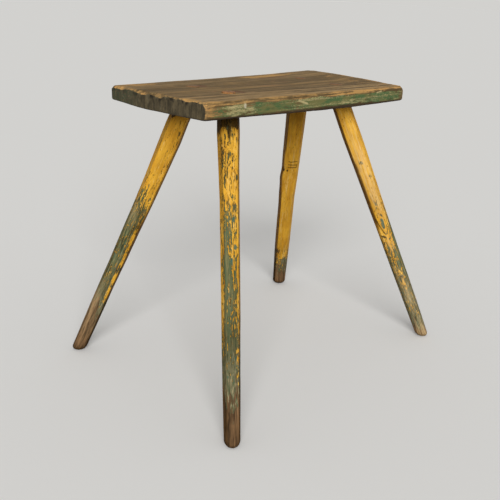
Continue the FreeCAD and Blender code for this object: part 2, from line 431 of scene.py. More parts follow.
def leg_section(leg, seed, height):
    """The reach and the direction of each flat of a leg at a height."""
    half = at_level(leg, "widths", height) / 2
    turn = math.radians(LEGS[leg]["turn"])
    flats = []
    for i in range(FLATS):
        long_cut = LONG_CUTS * wander(seed + i, height * 11)
        short_cut = SHORT_CUTS * wander(seed + i + 40, height * 55)
        skew = math.radians(CUT_SKEW) * wander(seed + i + 80, height * 4)
        flats.append((half + long_cut + short_cut, turn + math.tau * i / FLATS + skew))
    return flats


def section_reach(flats, angle, crispness):
    """Distance from the axis to the outline of a section whose arrises are rubbed round."""
    total = 0
    for reach, direction in flats:
        facing = math.cos(angle - direction)
        if facing > 0:
            total += (facing / reach) ** crispness
    return total ** (-1 / crispness)


def degrees_past(compass, towards):
    """How far one compass direction lies past another, between -180 and 180."""
    return (compass - towards + 180) % 360 - 180


def millimetres_past(compass, towards, reach):
    """The same, measured round a leg."""
    return math.radians(degrees_past(compass, towards)) * reach / MM


def lumps(leg, height, compass, reach):
    """How far the lumps and nicks of a leg move its surface at one point."""
    moved = 0
    for middle, towards, rise, half_length in LEGS[leg]["lumps"]:
        up = (height / MM - middle) / half_length
        across = millimetres_past(compass, towards, reach) / half_length
        moved += rise * MM * math.exp(-up ** 2 - across ** 2)
    return moved


def shaft_reach(leg, flats, height, angle, outward):
    """How far a leg's shaft reaches from its middle in one direction."""
    crispness = FOOT_CRISPNESS + (SHAFT_CRISPNESS - FOOT_CRISPNESS) * smooth(0, CRISP_HEIGHT, height)
    reach = section_reach(flats, angle, crispness)
    reach += lumps(leg, height, math.degrees(math.atan2(outward.y, outward.x)), reach)
    if height < FOOT_ROUND:
        reach -= FOOT_ROUND - math.sqrt(FOOT_ROUND ** 2 - (FOOT_ROUND - height) ** 2)
    return reach


def leg_ring(leg, seed, height, part):
    """The points of one ring round a leg."""
    axis = AXES[leg]
    flats = leg_section(leg, seed, height)
    middle = leg_middle(leg, height) if part == "shaft" else axis.at(height)
    arris = TENON_ARRIS if part == "end" else 0
    points = []
    for i in range(FLATS):
        before = (flats[i - 1][1] + flats[i][1]) / 2 - (math.pi if i == 0 else 0)
        after = (flats[i][1] + flats[(i + 1) % FLATS][1]) / 2 + (math.pi if i == FLATS - 1 else 0)
        for step in FLAT_STEPS:
            angle = before + (after - before) * step
            outward = axis.spoke(angle)
            if part == "shaft":
                reach = shaft_reach(leg, flats, height, angle, outward)
            else:
                reach = TENON_RADIUS - arris
            point = middle + axis.levelled(outward * reach)
            if part != "shaft" and height > SEAT_MIDDLE.z:
                point.z += relief_at(point) + TENON_PROUD[leg] - TENON_ARRIS + arris
            points.append(point)
    return points


def kerf_cutter(axis):
    """The tapered slot that a wedge is driven into."""
    bm = bmesh.new()
    bmesh.ops.create_cube(bm, size=1)
    for vert in bm.verts:
        above = vert.co.z > 0
        depth = WEDGE_LENGTH if above else -WEDGE_LENGTH
        width = 2 * WEDGE_HEAD - WEDGE_TIP if above else WEDGE_TIP
        across = axis.side * vert.co.x * width + axis.front * vert.co.y * KERF_REACH
        vert.co = axis.head + across + axis.along * depth
    return as_piece(bm, "kerf_cutter")


def make_leg(leg, seed):
    rings = [leg_ring(leg, seed, height, part) for height, part in leg_heights()]
    around = FLATS * len(FLAT_STEPS)
    bm = bmesh.new()
    bmesh.ops.create_grid(bm, x_segments=around, y_segments=len(rings) - 1, size=0.5)
    for vert in bm.verts:
        column = round((vert.co.x + 0.5) * around) % around
        row = round((vert.co.y + 0.5) * (len(rings) - 1))
        vert.co = rings[row][column]
    bmesh.ops.remove_doubles(bm, verts=bm.verts, dist=MERGE_REACH)
    bmesh.ops.holes_fill(bm, edges=bm.edges, sides=0)
    bmesh.ops.recalc_face_normals(bm, faces=bm.faces)
    piece = as_piece(bm, f"staked_leg_{leg}")
    carve(piece, kerf_cutter(AXES[leg]))
    shade(piece)
    return piece


def make_wedge(leg):
    """The wedge in a leg's tenon, worn down nearly level with it."""
    axis = AXES[leg]
    bm = bmesh.new()
    bmesh.ops.create_cube(bm, size=2)
    for vert in bm.verts:
        above = vert.co.z > 0
        half = (WEDGE_HEAD if above else WEDGE_TIP) / 2
        reach = math.sqrt(TENON_RADIUS ** 2 - half ** 2)
        point = axis.head + axis.side * vert.co.x * half + axis.front * vert.co.y * reach
        if above:
            level = seat_high.z + relief_at(point) + TENON_PROUD[leg] + WEDGE_PROUD
            point += axis.along * ((level - point.z) / axis.along.z)
        else:
            point -= axis.along * WEDGE_LENGTH
        vert.co = point
    bmesh.ops.bevel(
        bm, geom=bm.edges[:], offset=WEDGE_ARRIS, segments=2, profile=0.5, affect="EDGES", material=-1,
    )
    piece = as_piece(bm, f"tenon_wedge_{leg}")
    shade(piece)
    return piece


# Shader nodes

class Value:
    """A number, colour or vector that a shader node gives out."""

    def __init__(self, finish, socket):
        self.finish = finish
        self.socket = socket

    def math(self, operation, first, second):
        return self.finish.node("ShaderNodeMath", {"operation": operation}, {0: first, 1: second})

    def __add__(self, other):
        return self.math("ADD", self, other)

    def __radd__(self, other):
        return self.math("ADD", other, self)

    def __sub__(self, other):
        return self.math("SUBTRACT", self, other)

    def __rsub__(self, other):
        return self.math("SUBTRACT", other, self)

    def __mul__(self, other):
        return self.math("MULTIPLY", self, other)

    def __rmul__(self, other):
        return self.math("MULTIPLY", other, self)


class Finish:
    """A material in the making."""

    def __init__(self, name):
        self.material = bpy.data.materials.new(name)
        self.material.use_nodes = True
        self.tree = self.material.node_tree
        self.tree.nodes.clear()

    def node(self, kind, settings=None, sockets=None, output=0):
        """Adds a node, sets it, then fills or links its sockets."""
        made = self.tree.nodes.new(kind)
        for name, setting in (settings or {}).items():
            setattr(made, name, setting)
        for name, value in (sockets or {}).items():
            if isinstance(value, Value):
                self.tree.links.new(value.socket, made.inputs[name])
            else:
                made.inputs[name].default_value = value
        return Value(self, made.outputs[output]) if made.outputs else None

    def kept(self, name, output="Fac"):
        """A number, or with the output Vector a vector, that is kept on the mesh."""
        return self.node("ShaderNodeAttribute", {"attribute_name": name}, output=output)

    def in_scene(self):
        """The place of a point in the stool's own frame."""
        return self.node("ShaderNodeTexCoord", output="Object")

    def vectors(self, operation, first, second, output="Vector"):
        return self.node("ShaderNodeVectorMath", {"operation": operation}, {0: first, 1: second}, output)

    def sine(self, angle):
        return self.node("ShaderNodeMath", {"operation": "SINE"}, {0: angle})

    def mottle(self, where, stretch, scale, detail=3, roughness=0.55):
        """Noise about 0.5, drawn out along an axis where its stretch is below 1."""
        stretched = self.vectors("MULTIPLY", where, stretch)
        sockets = {"Vector": stretched, "Scale": scale, "Detail": detail, "Roughness": roughness}
        return self.node("ShaderNodeTexNoise", None, sockets)

    def rise(self, value, low, high):
        """Goes smoothly from 0 to 1 while a value goes from low to high."""
        sockets = {"Value": value, "From Min": low, "From Max": high}
        return self.node("ShaderNodeMapRange", {"interpolation_type": "SMOOTHSTEP"}, sockets)

    def mix(self, share, first, second, how="MIX"):
        """A colour between two, or the second laid over the first another way."""
        settings = {"data_type": "RGBA", "blend_type": how}
        return self.node("ShaderNodeMix", settings, {0: share, 6: first, 7: second}, output=2)

    def lay(self, first, second, value, low, high, share=1):
        """The second colour laid over the first, up to a share, while a value goes from low to high."""
        return self.mix(self.rise(value, low, high) * share, first, second)

    def distance_to_line(self, where, start, end):
        """Distance from a place to the straight line between two places."""
        run = Vector(end) - Vector(start)
        gone = self.vectors("SUBTRACT", where, start)
        share = self.vectors("DOT_PRODUCT", gone, run / run.length_squared, "Value")
        share = self.node("ShaderNodeClamp", None, {"Value": share})
        near = self.node("ShaderNodeVectorMath", {"operation": "SCALE"}, {0: run, "Scale": share})
        return self.vectors("DISTANCE", gone, near, "Value")

    def surface(self, colour, roughness, height, depth, specular=0.3):
        bump = self.node("ShaderNodeBump", None, {"Strength": 1, "Distance": depth, "Height": height})
        sockets = {
            "Base Color": colour,
            "Roughness": roughness,
            "Specular IOR Level": specular,
            "Normal": bump,
        }
        shader = self.node("ShaderNodeBsdfPrincipled", None, sockets)
        self.node("ShaderNodeOutputMaterial", None, {"Surface": shader})
        return self.material


def paint_tin(red, green, blue):
    """A colour as it looks on screen, 0 to 255, in the linear form that shaders use."""
    def linear(level):
        level /= 255
        return level / 12.92 if level <= 0.04045 else ((level + 0.055) / 1.055) ** 2.4
    return (linear(red), linear(green), linear(blue), 1)


# The legs' finish: bare wood under old green under ochre

BARE_LIGHT = paint_tin(146, 112, 78)
BARE_DARK = paint_tin(70, 53, 36)
TEAL = paint_tin(68, 106, 92)
TEAL_BRIGHT = paint_tin(58, 104, 94)
OLIVE = paint_tin(124, 118, 78)
GREEN = paint_tin(90, 102, 70)
MOSS = paint_tin(64, 66, 46)
WEATHERED = paint_tin(126, 116, 88)
BLEACHED = paint_tin(186, 166, 128)
CHIP_BROWN = paint_tin(84, 73, 44)
OCHRE = paint_tin(240, 182, 60)
OCHRE_PALE = paint_tin(248, 208, 122)
OCHRE_DULL = paint_tin(220, 160, 48)
OCHRE_LINE = paint_tin(152, 102, 34)
SOOT_AND_SHADE = paint_tin(40, 30, 16)
SHADE = paint_tin(120, 108, 58)
TENON_END = paint_tin(186, 116, 58)
TENON_DULL = paint_tin(112, 90, 62)
FURROW_DARK = paint_tin(46, 44, 28)
FURROW_LIGHT = paint_tin(158, 142, 102)
RUBBED_PALE_AND_HIGHLIGHT = paint_tin(234, 204, 150)

# Heights between which the chips turn from green to brown, and the green turns weathered
BROWN_CHIPS = (290 * MM, 380 * MM)
WEATHERED_GREEN = (180 * MM, 80 * MM)
# How far the end of each tenon has taken the colour of the seat
TENON_DIRT = {"front_left": 0.4, "front_right": 0.75, "back_right": 0.8, "back_left": 0.8}
# Depths below the top between which a tenon's side takes the colour of its end
TENON_EDGE = (5 * MM, 2 * MM)
# How strongly the furrows of the wood show through each leg's green
LINED = {"front_left": 0.25, "front_right": 0.65, "back_right": 0.3, "back_left": 0.75}
# Cuts and dark lines: the leg, then heights in millimetres and directions round it, arris by arris
DARK_LINES = (
    ("back_right", ((300.5, 208), (300, 224.5), (301, 266))),
    ("back_right", ((294, 207), (294, 224.5), (293.5, 266))),
    ("back_right", ((288, 206), (288.3, 224.5), (288, 264))),
    ("front_right", ((229, 183), (217, 193), (206, 210))),
)
# Distances from its middle at which such a line begins and is whole, and how ragged it is
DARK_LINE_EDGE = (1.5 * MM, 0.6 * MM)
DARK_LINE_RAGGEDNESS = 0.8 * MM
# Where paint is left on each leg: for compass directions round the leg, the heights in millimetres
# down to which ochre and green are left, and how whole the ochre is above
PAINT_ENDS = {
    "front_left": [
        (37, 250, 75, 0.78), (85, 230, 80, 0.78), (130, 150, 75, 0.74), (160, 112, 72, 0.7),
        (180, 125, 70, 0.68), (190, 255, 70, 0.64), (205, 262, 66, 0.62), (225, 255, 62, 0.62),
        (238, 225, 62, 0.64), (250, 165, 64, 0.66), (266, 118, 70, 0.72), (285, 105, 72, 0.76),
        (320, 130, 75, 0.8), (351, 200, 80, 0.78),
    ],
    "front_right": [
        (16, 220, 60, 0.78), (58, 230, 60, 0.78), (101, 200, 50, 0.78), (150, 180, 30, 0.78),
        (185, 140, 20, 0.9), (205, 136, 16, 0.9), (228, 142, 14, 0.88), (245, 156, 12, 0.86),
        (262, 184, 12, 0.86), (285, 226, 12, 0.86), (330, 200, 30, 0.84),
    ],
    "back_right": [
        (20, 200, 80, 0.78), (68, 210, 85, 0.78), (113, 160, 80, 0.76), (155, 60, 56, 0.78),
        (185, 50, 42, 0.9), (248, 48, 40, 0.9), (294, 62, 46, 0.88), (340, 140, 60, 0.8),
    ],
    "back_left": [
        (40, 220, 100, 0.78), (85, 250, 100, 0.78), (130, 260, 100, 0.76), (150, 272, 106, 0.76),
        (208, 270, 104, 0.86), (233, 268, 92, 0.86), (241, 255, 80, 0.82), (247, 124, 68, 0.76),
        (253, 90, 68, 0.76), (308, 90, 68, 0.78), (350, 170, 90, 0.78),
    ],
}
# How long the ochre takes to give way, in millimetres of height, and how much of it is left below
OCHRE_FADE = {"front_left": 110, "front_right": 170, "back_right": 110, "back_left": 60}
OCHRE_SCRAPS = {"front_left": 0.25, "front_right": 0.32, "back_right": 0.36, "back_left": 0.3}
# How long the green takes to give way, and how whole it is above
GREEN_FADE = 80 * MM
GREEN_HOLD = 0.86
# Dirt and painted contact shade round the foot, and how far up they reach
FOOT_DIRT_AND_SHADE = 0.5
FOOT_SHADE_REACH = 12 * MM
# Places where the ochre is rubbed off, or is left on where the strength is below 0, where all paint is
# off, teal shows, or the paint is pale, stained or veiled with dirt: what, height, compass direction,
# half length, half width and strength, with lengths in millimetres. The veils are also painted shade,
# such as the seat's shadow on the tops of the legs. The stains at the tops, under the seat, are partly
# painted shade. The pale spots on the flats facing the lamp are partly painted highlights.
PAINT_SPOTS = {
    "front_left": [
        ("stain_and_shade", 438, 220, 20, 60, 1.5), ("stain_and_shade", 408, 231, 9, 2.6, 0.8),
        ("stain_and_shade", 414, 160, 14, 6, 0.6), ("stain_and_shade", 424, 285, 10, 4, 0.7),
        ("ochre", 388, 187, 9, 2.2, 0.3), ("ochre", 367, 188, 6, 2, 0.25),
        ("ochre", 374, 219, 10, 7, 0.1), ("ochre", 348, 202, 8, 1.6, 0.28),
        ("ochre", 351, 276, 5, 2, 0.4), ("ochre", 312, 260, 3.5, 2.5, 0.6),
        ("teal", 296, 249, 4, 3, 0.9), ("teal", 260, 262, 4, 3, 0.9), ("teal", 242, 234, 7, 3, 0.6),
        ("teal", 205, 240, 30, 1.8, 0.45), ("teal", 112, 258, 18, 2, 0.55), ("teal", 96, 205, 14, 2.4, 0.4),
        ("ochre", 252, 231, 6, 2.5, -0.35), ("ochre", 160, 272, 45, 6, 0.14),
        ("ochre", 135, 252, 6, 4, 0.4), ("ochre", 215, 258, 42, 1.5, 0.4),
        ("ochre", 222, 271, 30, 1.2, 0.35), ("dirt_and_shade", 200, 266, 75, 8, 0.3),
        ("ochre", 125, 274, 3.5, 3, -0.4), ("ochre", 115, 275, 4, 3, -0.4), ("ochre", 92, 275, 5, 3, -0.5),
        ("ochre", 83, 275, 4, 3, -0.5), ("dirt_and_shade", 30, 175, 45, 12, 0.5), ("stain_and_shade", 44, 206, 14, 1.6, 0.5),
        ("pale", 462, 225, 6, 60, 0.12), ("ochre", 300, 240, 24, 16, 0.17), ("ochre", 242, 184, 40, 6, 0.2),
        ("dirt_and_shade", 138, 235, 24, 16, 0.3), ("ochre", 140, 268, 20, 6, 0.12), ("dirt_and_shade", 20, 270, 26, 7, 0.3),
        ("dirt_and_shade", 370, 192, 50, 12, 0.22), ("ochre", 330, 228, 20, 8, -0.1), ("dirt_and_shade", 130, 212, 60, 9, 0.18),
    ],
    "front_right": [
        ("ochre", 331, 222, 3.5, 2.6, 0.75), ("ochre", 307, 246, 3, 2, 0.6), ("ochre", 258, 226, 4, 2, 0.5),
        ("ochre", 243, 205, 4, 2, 0.5), ("ochre", 237, 230, 3, 2, 0.5), ("teal", 226, 226, 8, 2.8, 0.9),
        ("teal", 216, 220, 4, 1.8, 0.7), ("teal", 90, 222, 24, 2, 0.4),
        ("stain_and_shade", 197, 192, 3, 6, 0.8), ("ochre", 165, 282, 60, 4, 0.3),
        ("stain_and_shade", 182, 214, 24, 1, 0.5), ("ochre", 168, 238, 12, 1.4, 0.4), ("stain_and_shade", 122, 228, 3, 3, 1),
        ("pale", 330, 226, 60, 9, 0.5), ("pale", 275, 228, 40, 6, 0.35), ("pale", 100, 222, 40, 6, 0.5),
        ("pale", 180, 229, 24, 5, 0.55), ("ochre", 180, 230, 20, 5, -0.15),
        ("ochre", 174, 207, 22, 3, 0.35), ("dirt_and_shade", 275, 256, 40, 7, 0.26),
        ("ochre", 258, 224, 22, 4, 0.14), ("dirt_and_shade", 258, 216, 22, 7, 0.2),
        ("ochre", 130, 228, 4, 3, -0.22), ("ochre", 108, 232, 9, 3, -0.28), ("ochre", 62, 228, 5, 3, -0.2),
        ("stain_and_shade", 435, 215, 7, 30, 0.55), ("pale", 14, 246, 20, 13, 0.55), ("bare", 2, 230, 14, 40, 0.55),
        ("pale", 95, 258, 36, 4, 0.15),
        ("dirt_and_shade", 375, 245, 9, 9, 0.25),
    ],
    "back_right": [
        ("stain_and_shade", 281, 168, 3.5, 3.5, 1), ("stain_and_shade", 281, 200, 3, 2.4, 1), ("dirt_and_shade", 405, 222, 40, 24, 0.5),
        ("dirt_and_shade", 12, 215, 18, 20, 0.15), ("stain_and_shade", 152, 172, 6, 3, 0.7), ("stain_and_shade", 292, 268, 8, 1.4, 0.7),
        ("dirt_and_shade", 110, 222, 130, 30, 0.2), ("dirt_and_shade", 352, 226, 60, 30, 0.26), ("dirt_and_shade", 98, 228, 24, 30, 0.26),
        ("dirt_and_shade", 190, 254, 56, 12, 0.26), ("dirt_and_shade", 300, 250, 30, 10, 0.15),
        ("bare", 88, 185, 6, 5, 0.4), ("ochre", 60, 240, 14, 6, 0.2), ("ochre", 66, 258, 9, 4, 0.3),
    ],
    "back_left": [
        ("stain_and_shade", 418, 190, 6, 4, 0.9), ("stain_and_shade", 438, 222, 13, 20, 0.75), ("ochre", 155, 268, 6, 7, 0.45),
        ("ochre", 127, 268, 4, 7, 0.35), ("stain_and_shade", 408, 240, 5, 2, 0.6), ("stain_and_shade", 396, 232, 5, 2, 0.5),
        ("stain_and_shade", 312, 178, 9, 2, 0.7), ("ochre", 300, 190, 26, 2, 0.3), ("ochre", 306, 214, 22, 1.6, 0.3),
        ("pale", 52, 222, 30, 14, 0.16), ("dirt_and_shade", 4, 225, 8, 40, 0.4), ("pale", 102, 184, 25, 6, 0.35),
        ("ochre", 250, 246, 24, 5, 0.3), ("ochre", 245, 266, 28, 5, 0.1), ("ochre", 292, 248, 22, 14, 0.1),
        ("pale", 258, 188, 26, 7, 0.3), ("ochre", 182, 268, 16, 5, 0.18), ("dirt_and_shade", 22, 250, 24, 8, 0.25),
        ("dirt_and_shade", 424, 225, 13, 30, 0.6), ("dirt_and_shade", 342, 220, 28, 6, 0.34), ("dirt_and_shade", 300, 250, 24, 8, 0.16),
        ("dirt_and_shade", 110, 222, 42, 6, 0.28), ("dirt_and_shade", 200, 270, 42, 6, 0.2), ("dirt_and_shade", 258, 222, 22, 7, 0.4),
        ("dirt_and_shade", 238, 262, 20, 7, 0.5),
    ],
}
# Sides of a leg given painted shade, the flats turned away from the lamp: from and to which compass
# direction, from and to which height in millimetres, and how dark
SHADED_SIDES = {
    "front_left": [(140, 192, 0, 460, 0.3), (284, 335, 0, 460, 0.6)],
    "front_right": [(115, 180, 330, 460, 1), (115, 190, 215, 330, 1), (115, 168, 0, 215, 0.1)],
    "back_right": [(125, 179, 320, 460, 1), (125, 168, 235, 320, 1), (125, 179, 0, 235, 1)],
    "back_left": [(287, 335, 235, 460, 0.8), (271, 335, 0, 235, 1), (120, 184, 0, 460, 0.4)],
}
# How many degrees round the leg and millimetres along it they fade over, either way
DARK_SIDE_FADE = 4
DARK_END_FADE = 12
# The centre of a knot's figure in a leg's paint, by height in millimetres and compass direction
KNOT_FIGURES = {"front_right": (222, 222), "front_left": (157, 252)}
# How far a figure reaches in millimetres, how much it is drawn out along the leg, how close its rings
# are and how strongly they break the ochre
FIGURE_REACH = 8
FIGURE_STRETCH = 3.2
FIGURE_RINGS = 1.9
FIGURE_STRENGTH = 0.4
# A distance in millimetres at which no figure is left
NO_FIGURE = 99


def dark_lines():
    """The ends of each straight piece of the lines, on the flats of their legs."""
    for leg, stops in DARK_LINES:
        points = []
        for height, angle in stops:
            height *= MM
            from_flat = (angle - LEGS[leg]["turn"] + 180 / FLATS) % (360 / FLATS) - 180 / FLATS
            reach = at_level(leg, "widths", height) / 2 / math.cos(math.radians(from_flat))
            spoke = AXES[leg].spoke(math.radians(angle)) * reach
            points.append(leg_middle(leg, height) + AXES[leg].levelled(spoke))
        yield from zip(points, points[1:])


def leg_finish():
    leg = Finish("worn_leg_paint")
    place = leg.kept("leg_place", "Vector")
    fibre = leg.mottle(place, (1, 1, 0.05), 1100, 4)
    band = leg.mottle(place, (1, 1, 0.06), 260)
    patch = leg.mottle(place, (1, 1, 0.4), 70)
    flake = leg.mottle(place, (1, 1, 0.34), 420, 4, 0.6)
    streak = leg.mottle(place, (1.1, 1.1, 0.1), 560, 4, 0.6)
    chip = leg.mottle(place, (1, 1, 0.3), 900, 3, 0.6)
    older = leg.mottle(place, (1.1, 1.1, 0.2), 300, 5, 0.62)
    lines = leg.mottle(place, (1, 1, 0.1), 760, 3, 0.6)
    furrow = leg.mottle(place, (1, 1, 0.1), 420, 2)
    figure = leg.sine(leg.kept("figure") * FIGURE_RINGS) * leg.kept("figure_share") * FIGURE_STRENGTH
    broken = (flake - 0.5) * 1.1 + (streak - 0.5) * 1.6 + (chip - 0.5) * 0.9 + figure
    older_broken = (older - 0.5) * 1.6 + (streak - 0.5) * 1.4

    ochre = leg.rise(leg.kept("ochre") + broken, 0.46, 0.54)
    green = leg.rise(leg.kept("green") + older_broken, 0.42, 0.58)
    high_up = leg.rise(leg.kept("height"), *BROWN_CHIPS)
    low_down = leg.rise(leg.kept("height"), *WEATHERED_GREEN)
    lined = leg.kept("lined")

    wood = leg.lay(BARE_DARK, BARE_LIGHT, fibre * 0.5 + band * 0.5, 0.38, 0.62)
    under = leg.lay(GREEN, OLIVE, streak * 0.5 + band * 0.5, 0.42, 0.56)
    under = leg.lay(under, TEAL, older * 0.6 + patch * 0.4, 0.56, 0.66, 0.85)
    under = leg.lay(under, MOSS, streak * 0.5 + fibre * 0.5, 0.5, 0.6, 0.85)
    under = leg.lay(under, FURROW_DARK, furrow, 0.5, 0.4, lined)
    under = leg.lay(under, FURROW_LIGHT, furrow * 0.7 + fibre * 0.3, 0.56, 0.66, lined)
    worn = leg.lay(FURROW_DARK, WEATHERED, lines * 0.7 + fibre * 0.3, 0.4, 0.5)
    worn = leg.lay(worn, GREEN, streak * 0.5 + older * 0.5, 0.48, 0.56, 0.7)
    worn = leg.lay(worn, BLEACHED, lines * 0.6 + older * 0.4, 0.54, 0.61, 0.8)
    worn = leg.lay(worn, TEAL, flake * 0.5 + older * 0.5, 0.55, 0.63, 0.45)
    under = leg.mix(low_down * 0.85, under, worn)
    under = leg.lay(under, CHIP_BROWN, patch * 0.4 + flake * 0.6, 0.34, 0.48, high_up * 0.95)
    over = leg.lay(OCHRE, OCHRE_DULL, patch, 0.38, 0.64)
    over = leg.lay(over, OCHRE_PALE, band * 0.6 + flake * 0.4, 0.52, 0.66, 0.7)
    over = leg.lay(over, OCHRE_LINE, fibre * 0.6 + streak * 0.4, 0.5, 0.66, 0.75)

    colour = leg.mix(green, wood, under)
    colour = leg.mix(ochre, colour, over)
    # A dark rim round the ochre's chips: dirt, and painted shade in the step at the paint's edge
    rim = ochre * (1 - ochre) * 4
    colour = leg.mix(rim * 0.75, colour, SOOT_AND_SHADE)
    dabs = leg.kept("teal") + (flake - 0.5) * 1.2 + (streak - 0.5) * 0.8
    colour = leg.lay(colour, TEAL_BRIGHT, dabs, 0.4, 0.56, 0.85)
    end_grain = leg.lay(BARE_DARK, TENON_END, flake * 0.5 + chip * 0.5, 0.3, 0.52)
    end_grain = leg.mix(leg.kept("tenon_dirt"), end_grain, TENON_DULL)
    colour = leg.mix(leg.kept("tenon_end"), colour, end_grain)
    for start, end in dark_lines():
        away = leg.distance_to_line(leg.in_scene(), start, end)
        away += (chip - 0.5) * DARK_LINE_RAGGEDNESS
        colour = leg.lay(colour, SOOT_AND_SHADE, away, *DARK_LINE_EDGE, 0.65)
    # Stains, and at the tops of the legs under the seat painted shade
    stains_and_shade = leg.kept("stain_and_shade") + (flake - 0.5) * 0.9 + (streak - 0.5) * 0.5
    colour = leg.lay(colour, SOOT_AND_SHADE, stains_and_shade, 0.35, 0.65, 0.9)
    # Dirt and painted shade: the seat's shadow on the legs' tops and the flats turned from the lamp
    dirt_and_shade = leg.kept("dirt_and_shade") * leg.rise(band * 0.5 + flake * 0.5, 0.2, 0.5)
    colour = leg.mix(dirt_and_shade, colour, SHADE, "MULTIPLY")
    # Pale rubbed paint, and on the flats facing the lamp painted highlights
    colour = leg.lay(colour, RUBBED_PALE_AND_HIGHLIGHT, band * 0.5 + streak * 0.5, 0.36, 0.6, leg.kept("pale"))

    roughness = 0.84 - green * 0.12 - ochre * 0.2 + (fibre - 0.5) * 0.2
    height = fibre * 0.35 + streak * 0.3 + green * 0.35 + ochre * 0.7
    return leg.surface(colour, roughness, height, depth=0.6 * MM, specular=0.06)


def round_the_leg(ends, compass):
    """The listed values between two directions, smoothly joined."""
    for i, end in enumerate(ends):
        before = ends[i - 1]
        span = (end[0] - before[0]) % 360
        gone = (compass - before[0]) % 360
        if gone <= span:
            share = smooth(0, span, gone)
            return [a + (b - a) * share for a, b in zip(before[1:], end[1:])]


def spot_strengths(leg, height, compass, reach):
    """How strongly the spots and the painted shade of a leg's sides act at one point, its height in
    millimetres.
    """
    total = dict.fromkeys(("ochre", "bare", "teal", "pale", "stain_and_shade", "dirt_and_shade"), 0)
    for what, middle, towards, half_length, half_width, strength in PAINT_SPOTS[leg]:
        up = (height - middle) / half_length
        across = millimetres_past(compass, towards, reach) / half_width
        total[what] += strength * math.exp(-up ** 2 - across ** 2)
    # Painted shade on the flats turned away from the lamp
    for start, end, low, high, strength in SHADED_SIDES[leg]:
        round_it = smooth(-DARK_SIDE_FADE, DARK_SIDE_FADE, degrees_past(compass, start))
        round_it *= smooth(DARK_SIDE_FADE, -DARK_SIDE_FADE, degrees_past(compass, end))
        along_it = smooth(low - DARK_END_FADE, low + DARK_END_FADE, height)
        along_it *= smooth(high + DARK_END_FADE, high - DARK_END_FADE, height)
        total["dirt_and_shade"] += strength * round_it * along_it
    return total


def figure_reach(leg, height, compass, reach):
    """Distance in millimetres from the middle of a knot's figure, drawn out along the leg."""
    if leg not in KNOT_FIGURES:
        return NO_FIGURE
    middle, towards = KNOT_FIGURES[leg]
    return math.hypot((height - middle) / FIGURE_STRETCH, millimetres_past(compass, towards, reach))


def paint_leg(piece, leg, seed):
    """Keeps on a leg's mesh where each coat is left, and each point's place on the leg."""
    axis = AXES[leg]
    layers = (
        "ochre", "green", "teal", "stain_and_shade", "dirt_and_shade", "pale", "tenon_end", "tenon_dirt", "lined", "height",
        "figure", "figure_share",
    )
    kept = {name: [] for name in layers}
    places = []
    tenon_from, tenon_to = (seat_high.z - depth for depth in TENON_EDGE)
    for vert in piece.data.vertices:
        height = vert.co.z
        offset = vert.co - leg_middle(leg, height)
        square = offset - axis.along * offset.dot(axis.along)
        compass = math.degrees(math.atan2(square.y, square.x))
        ochre_end, green_end, hold = round_the_leg(PAINT_ENDS[leg], compass)
        spots = spot_strengths(leg, height / MM, compass, square.length)
        above_green = (height - green_end * MM) / GREEN_FADE
        above_ochre = (height / MM - ochre_end) / OCHRE_FADE[leg]
        scraps = OCHRE_SCRAPS[leg] * smooth(-0.2, 0.6, above_green)
        ochre = scraps + (hold - scraps) * smooth(-0.35, 0.65, above_ochre)
        figure = figure_reach(leg, height / MM, compass, square.length)
        kept["ochre"].append(ochre - spots["ochre"] - spots["bare"])
        kept["green"].append(min(GREEN_HOLD, 0.5 + above_green) - spots["bare"])
        kept["teal"].append(spots["teal"])
        kept["stain_and_shade"].append(spots["stain_and_shade"])
        # Round the foot, dirt and painted contact shade
        kept["dirt_and_shade"].append(min(1, spots["dirt_and_shade"] + FOOT_DIRT_AND_SHADE * smooth(FOOT_SHADE_REACH, 0, height)))
        kept["pale"].append(min(1, spots["pale"]))
        kept["tenon_end"].append(smooth(tenon_from, tenon_to, height))
        kept["tenon_dirt"].append(TENON_DIRT[leg])
        kept["lined"].append(LINED[leg])
        kept["height"].append(height)
        kept["figure"].append(figure)
        kept["figure_share"].append(math.exp(-(figure / FIGURE_REACH) ** 2))
        along = (vert.co - axis.foot).dot(axis.along)
        places.append((square.dot(axis.side) + seed, square.dot(axis.front), along))
    for name, values in kept.items():
        store(piece, name, values)
    store(piece, "leg_place", places, "FLOAT_VECTOR")


# The plank's finish: worn brown wood, rubbed tan at its arrises, with green left on its long edges

SEAT_BROWN = paint_tin(131, 107, 69)
SEAT_DARK = paint_tin(84, 67, 40)
SEAT_PALE = paint_tin(174, 143, 98)
SEAT_GOLD = paint_tin(168, 132, 80)
SEAT_RED = paint_tin(128, 88, 60)
SEAT_TAN = paint_tin(194, 148, 86)
SEAT_UNDER = paint_tin(52, 40, 26)
UNDER_BROWN = paint_tin(108, 88, 62)
UNDER_DARK = paint_tin(72, 57, 40)
EDGE_GREEN = paint_tin(74, 98, 58)
EDGE_OLIVE = paint_tin(110, 108, 64)
EDGE_CREAM = paint_tin(198, 180, 130)
CREAM_WHITE = paint_tin(226, 216, 190)
END_GRIME = paint_tin(102, 90, 66)
END_BLACK = paint_tin(52, 46, 33)
END_PALE = paint_tin(128, 118, 92)
END_NOTCH_SHADE = paint_tin(36, 31, 22)
END_MOSS = paint_tin(62, 68, 48)
KNOT_BROWN = paint_tin(100, 64, 42)

# The middle of the tree behind the plank's growth rings, their width and how far they wander
PITH = (0, SEAT_MIDDLE.y + 18 * MM, seat_low.z - 40 * MM)
RING_WIDTH = 5.5 * MM
RING_WAVES = 40 * MM
# Scratches in the paint of the front edge: their ends in millimetres along the edge and under the top
SCRATCHES = [((-43, 6.5), (-24, 12.8)), ((146, 7.4), (158, 6.2))]
# Distances from its middle at which a scratch begins and is whole, and how ragged it is
SCRATCH_EDGE = (2.2 * MM, 0.5 * MM)
SCRATCH_RAGGEDNESS = 5 * MM
